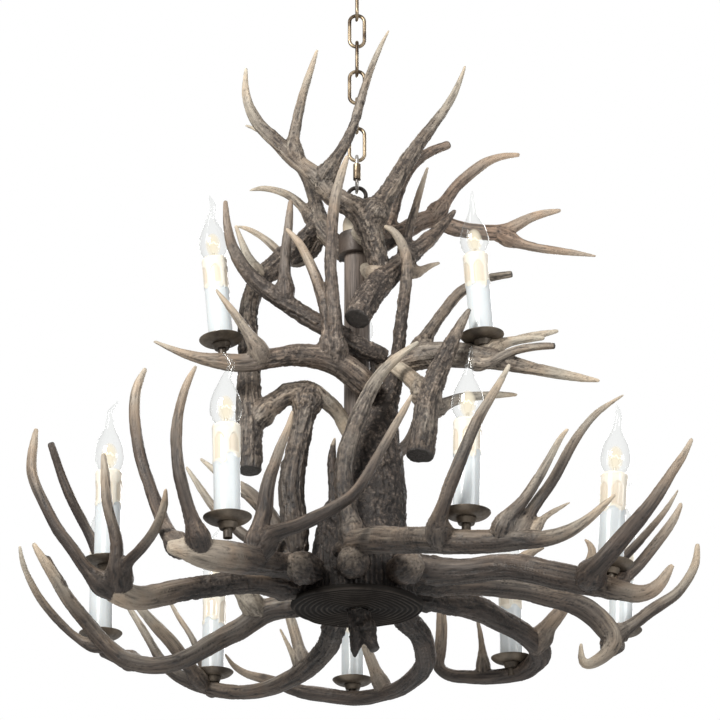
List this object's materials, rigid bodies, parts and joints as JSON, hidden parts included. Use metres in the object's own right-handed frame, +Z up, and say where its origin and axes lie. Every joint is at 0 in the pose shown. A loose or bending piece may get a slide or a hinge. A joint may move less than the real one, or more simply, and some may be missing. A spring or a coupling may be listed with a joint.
{
  "type": "antler chandelier",
  "caption": "Antler chandelier hung on a chain, with two tiers of forked antlers round a column and candle-style lamps on drip dishes.",
  "frame": {"origin": "centre of the ceiling bracket's contact face on the ceiling", "axes": "+Z up along the hanging axis, +X to the right of the front view, +Y to the back"},
  "size_m": [0.8205, 0.6925, 0.9467],
  "materials": {
    "steel": "satin",
    "bronze": "antique satin",
    "dark_iron": "dark satin",
    "candle": "waxy gloss",
    "column_grey": "grey fine grain",
    "antler": "natural antler",
    "socket": "matte",
    "glass": "clear"
  },
  "bodies": {
    "ceiling": {"ceiling_bracket": "steel", "canopy": "bronze", "canopy_nipple": "steel", "canopy_nut": "steel", "canopy_loop": "bronze"},
    "link_0": {"chain_link_0": "bronze"},
    "link_1": {"chain_link_1": "bronze"},
    "link_2": {"chain_link_2": "bronze"},
    "link_3": {"chain_link_3": "bronze"},
    "link_4": {"chain_link_4": "bronze"},
    "link_5": {"chain_link_5": "bronze"},
    "quick_link": {"quick_link": "steel"},
    "quick_sleeve": {"quick_link_sleeve": "bronze"},
    "chandelier": {"top_eye": "dark_iron", "top_cup": "candle", "collar": "bronze", "column": "column_grey", "centre_rod": "steel", "trunk": "antler", "bottom_disc": "dark_iron", "bottom_nut": "steel", "finial": "antler", "antler_front_left": "antler", "antler_front_right": "antler", "antler_left": "antler", "antler_left_rear": "antler", "antler_rear_left": "antler", "antler_rear": "antler", "antler_rear_right": "antler", "antler_right_rear": "antler", "antler_right": "antler", "antler_mid_left": "antler", "antler_upper_left_rear": "antler", "antler_crown": "antler", "antler_upper_stub": "antler", "antler_upper_right_rear": "antler", "antler_upper_right": "antler", "antler_mid_right": "antler", "antler_mid_long": "antler", "antler_mid_dark": "antler", "antler_upper_rear": "antler", "bobeches": "dark_iron", "candle_cups": "dark_iron", "candle_sleeves": "candle", "lamp_sockets": "socket"},
    "lamp_01": {"bulb_01": "glass"},
    "lamp_02": {"bulb_02": "glass"},
    "lamp_03": {"bulb_03": "glass"},
    "lamp_04": {"bulb_04": "glass"},
    "lamp_05": {"bulb_05": "glass"},
    "lamp_06": {"bulb_06": "glass"},
    "lamp_07": {"bulb_07": "glass"},
    "lamp_08": {"bulb_08": "glass"},
    "lamp_09": {"bulb_09": "glass"},
    "lamp_10": {"bulb_10": "glass"},
    "lamp_11": {"bulb_11": "glass"},
    "lamp_12": {"bulb_12": "glass"}
  },
  "joints": [
    {"name": "link_0_swing", "type": "hinge", "parent": "ceiling", "child": "link_0", "pos_m": [0, 0, -0.064], "axis": [1, 0, 0], "range_deg": [-25, 25]},
    {"name": "link_1_swing", "type": "hinge", "parent": "link_0", "child": "link_1", "pos_m": [0, 0, -0.1043], "axis": [0, 1, 0], "range_deg": [-25, 25]},
    {"name": "link_2_swing", "type": "hinge", "parent": "link_1", "child": "link_2", "pos_m": [0, 0, -0.1448], "axis": [1, 0, 0], "range_deg": [-20, 20]},
    {"name": "link_3_swing", "type": "hinge", "parent": "link_2", "child": "link_3", "pos_m": [0, 0, -0.1853], "axis": [0, 1, 0], "range_deg": [-20, 20]},
    {"name": "link_4_swing", "type": "hinge", "parent": "link_3", "child": "link_4", "pos_m": [0, 0, -0.2258], "axis": [1, 0, 0], "range_deg": [-15, 15]},
    {"name": "link_5_swing", "type": "hinge", "parent": "link_4", "child": "link_5", "pos_m": [0, 0, -0.2663], "axis": [0, 1, 0], "range_deg": [-15, 15]},
    {"name": "quick_link_swing", "type": "hinge", "parent": "link_5", "child": "quick_link", "pos_m": [0, 0, -0.3068], "axis": [1, 0, 0], "range_deg": [-12, 12]},
    {"name": "chandelier_swing", "type": "hinge", "parent": "quick_link", "child": "chandelier", "pos_m": [0, 0, -0.3493], "axis": [0, 1, 0], "range_deg": [-10, 10]},
    {"name": "quick_sleeve_turn", "type": "hinge", "parent": "quick_link", "child": "quick_sleeve", "pos_m": [0, -0.0094, -0.3273], "axis": [0, 0, 1], "continuous": true},
    {"name": "lamp_01_turn", "type": "hinge", "parent": "chandelier", "child": "lamp_01", "pos_m": [-0.1369, -0.271, -0.8679], "axis": [-0.034, 0, 0.9994], "continuous": true},
    {"name": "lamp_02_turn", "type": "hinge", "parent": "chandelier", "child": "lamp_02", "pos_m": [0.1154, -0.279, -0.8654], "axis": [0.028, 0, 0.9996], "continuous": true},
    {"name": "lamp_03_turn", "type": "hinge", "parent": "chandelier", "child": "lamp_03", "pos_m": [-0.2759, -0.141, -0.8734], "axis": [-0.015, 0, 0.9999], "continuous": true},
    {"name": "lamp_04_turn", "type": "hinge", "parent": "chandelier", "child": "lamp_04", "pos_m": [0.28, -0.137, -0.8747], "axis": [0.083, 0, 0.9966], "continuous": true},
    {"name": "lamp_05_turn", "type": "hinge", "parent": "chandelier", "child": "lamp_05", "pos_m": [-0.3069, 0.118, -0.8798], "axis": [-0.018, 0, 0.9998], "continuous": true},
    {"name": "lamp_06_turn", "type": "hinge", "parent": "chandelier", "child": "lamp_06", "pos_m": [0.3166, 0.126, -0.8726], "axis": [0.054, 0, 0.9985], "continuous": true},
    {"name": "lamp_07_turn", "type": "hinge", "parent": "chandelier", "child": "lamp_07", "pos_m": [-0.1814, 0.286, -0.8802], "axis": [0, 0, 1], "continuous": true},
    {"name": "lamp_08_turn", "type": "hinge", "parent": "chandelier", "child": "lamp_08", "pos_m": [0.1944, 0.275, -0.8651], "axis": [0, 0, 1], "continuous": true},
    {"name": "lamp_09_turn", "type": "hinge", "parent": "chandelier", "child": "lamp_09", "pos_m": [-0.0055, 0.341, -0.8753], "axis": [0, 0, 1], "continuous": true},
    {"name": "lamp_10_turn", "type": "hinge", "parent": "chandelier", "child": "lamp_10", "pos_m": [-0.1605, -0.0574, -0.5715], "axis": [-0.099, 0, 0.9951], "continuous": true},
    {"name": "lamp_11_turn", "type": "hinge", "parent": "chandelier", "child": "lamp_11", "pos_m": [0.1468, -0.0735, -0.574], "axis": [-0.055, 0, 0.9985], "continuous": true},
    {"name": "lamp_12_turn", "type": "hinge", "parent": "chandelier", "child": "lamp_12", "pos_m": [0.0051, 0.1903, -0.5772], "axis": [0, 0, 1], "continuous": true}
  ]
}
